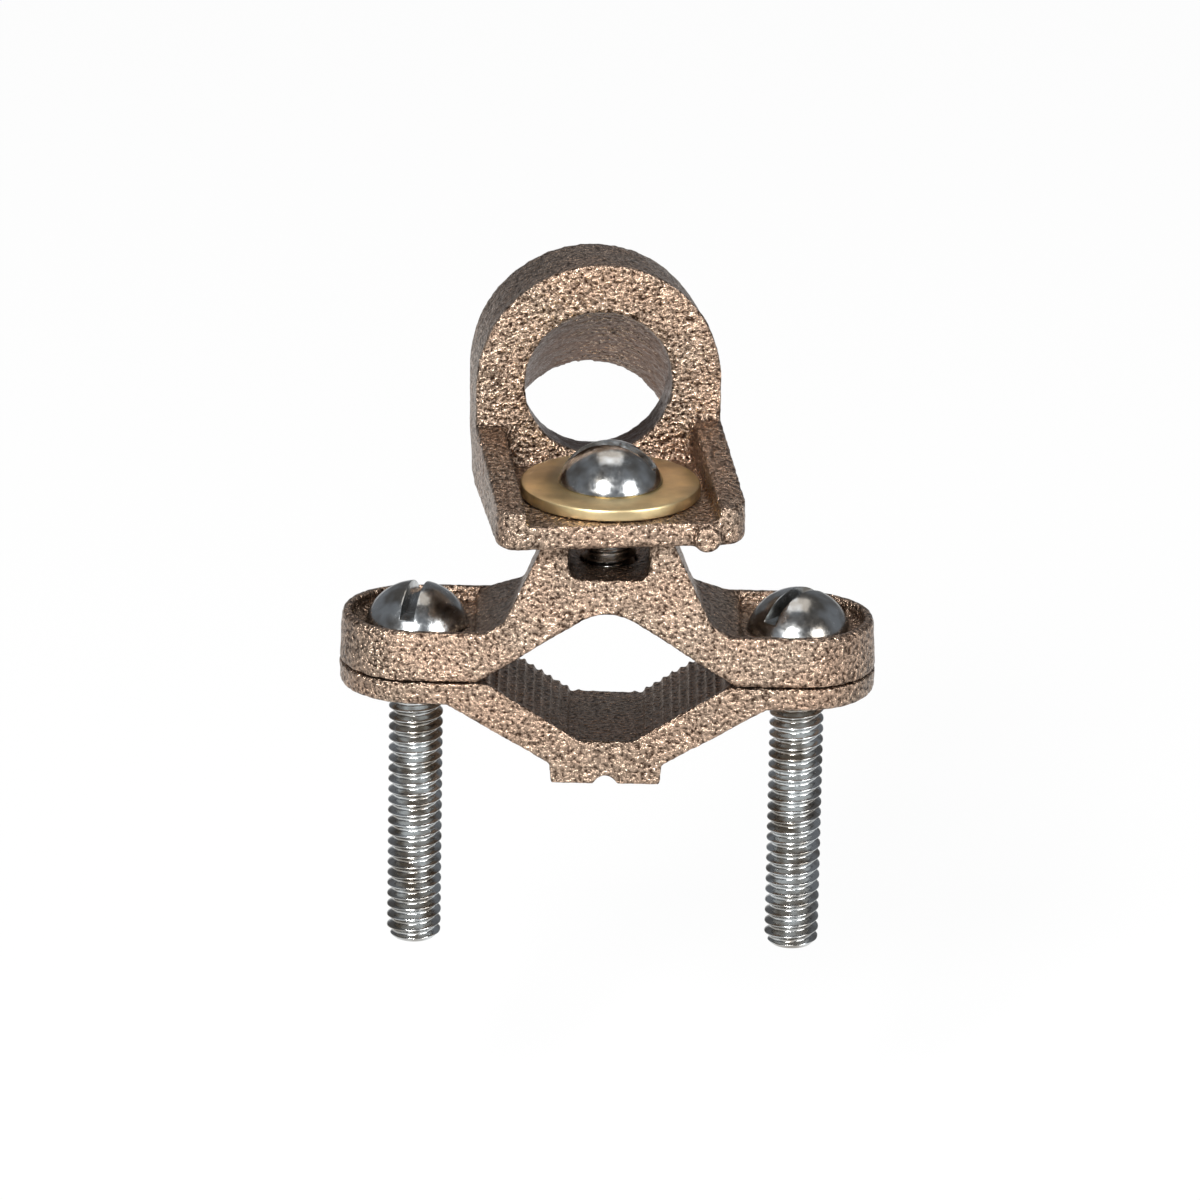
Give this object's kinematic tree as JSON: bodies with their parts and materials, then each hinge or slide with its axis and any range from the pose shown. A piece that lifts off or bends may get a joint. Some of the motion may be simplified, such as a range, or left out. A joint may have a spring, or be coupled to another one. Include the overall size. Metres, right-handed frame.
{
  "type": "earth rod clamp",
  "caption": "Two-jaw cast clamp for an earth rod or pipe, drawn up by two screws, with a swivelling hub and a wire channel.",
  "frame": {"origin": "midway between the clamp screws, at mid-depth, in the upper jaw's flat face where the closed jaws meet", "axes": "+Z from the lower jaw up to the hub, +Y along the gripped rod, +X from the left clamp screw to the right one"},
  "size_m": [0.0608, 0.035, 0.0774],
  "materials": {
    "cast_bronze": "sand-cast",
    "washer_brass": "satin",
    "plated_screw": "bright plated"
  },
  "bodies": {
    "upper_jaw": {"upper_jaw": "cast_bronze"},
    "lower_jaw": {"lower_jaw": "cast_bronze"},
    "cable_hub": {"cable_hub": "cast_bronze"},
    "hub_washer": {"hub_washer": "washer_brass"},
    "hub_screw": {"hub_screw": "plated_screw"},
    "clamp_screw_left": {"clamp_screw_left": "plated_screw"},
    "clamp_screw_right": {"clamp_screw_right": "plated_screw"}
  },
  "joints": [
    {"name": "jaw_travel", "type": "slide", "parent": "upper_jaw", "child": "lower_jaw", "axis": [0, 0, -1], "range_m": [0, 0.024]},
    {"name": "left_screw_turn", "type": "hinge", "parent": "upper_jaw", "child": "clamp_screw_left", "pos_m": [-0.0216, 0, 0], "axis": [0, 0, 1], "range_deg": [0, 6810]},
    {"name": "right_screw_turn", "type": "hinge", "parent": "upper_jaw", "child": "clamp_screw_right", "pos_m": [0.0216, 0, 0], "axis": [0, 0, 1], "range_deg": [0, 6810]},
    {"name": "hub_swivel", "type": "hinge", "parent": "upper_jaw", "child": "cable_hub", "pos_m": [0, 0, 0.017], "axis": [0, 0, 1], "continuous": true},
    {"name": "hub_screw_rise", "type": "slide", "parent": "upper_jaw", "child": "hub_washer", "axis": [0, 0, 1], "range_m": [0, 0.003]},
    {"name": "hub_screw_turn", "type": "hinge", "parent": "hub_washer", "child": "hub_screw", "pos_m": [0, 0, 0.02135], "axis": [0, 0, 1], "range_deg": [0, 852]}
  ],
  "couplings": [
    {"joint": "left_screw_turn", "follows": "jaw_travel", "rad_per_m": 4947.4},
    {"joint": "right_screw_turn", "follows": "jaw_travel", "rad_per_m": 4947.4},
    {"joint": "hub_screw_turn", "follows": "hub_screw_rise", "rad_per_m": 4947.4}
  ]
}
